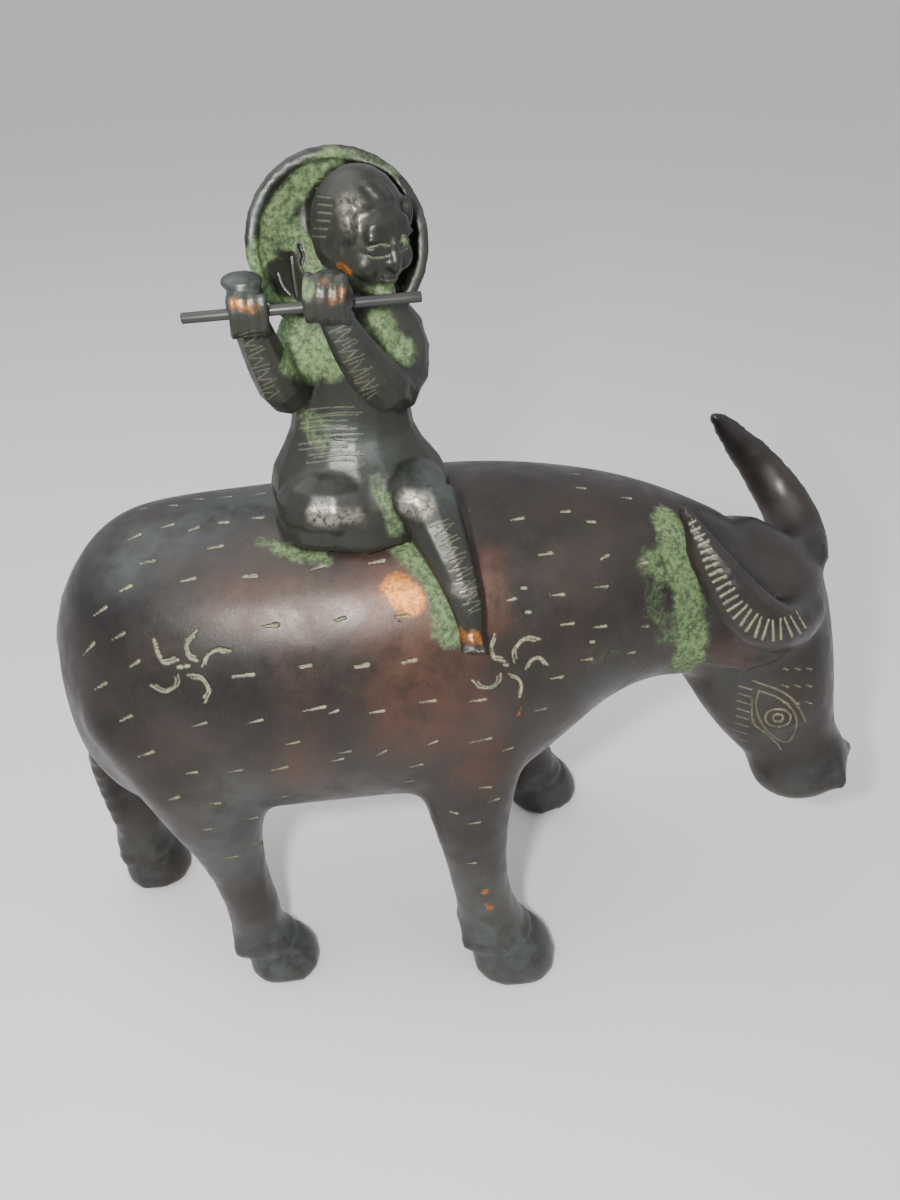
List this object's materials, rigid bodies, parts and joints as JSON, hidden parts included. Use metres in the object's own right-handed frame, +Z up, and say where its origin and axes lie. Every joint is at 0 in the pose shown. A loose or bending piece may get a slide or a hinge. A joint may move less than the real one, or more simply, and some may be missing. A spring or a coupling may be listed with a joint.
{
  "type": "buffalo and flute player figure",
  "caption": "Bronze water buffalo standing with its head lowered and turned, ridden sideways by a seated flute player with a round hat behind the head.",
  "frame": {"origin": "on the ground under the middle of the whole figure", "axes": "+X towards the buffalo's head, +Z up, -Y the side that the rider faces"},
  "size_m": [0.2092, 0.0894, 0.2158],
  "materials": {
    "buffalo_bronze": "dark brown-black patina, half gloss, with pale green in the engraving",
    "rider_bronze": "dark patina with green verdigris and worn copper spots",
    "flute_bronze": "dark smooth rod"
  },
  "bodies": {
    "root": {"buffalo": "buffalo_bronze", "flute_player": "rider_bronze", "flute": "flute_bronze"}
  },
  "joints": []
}
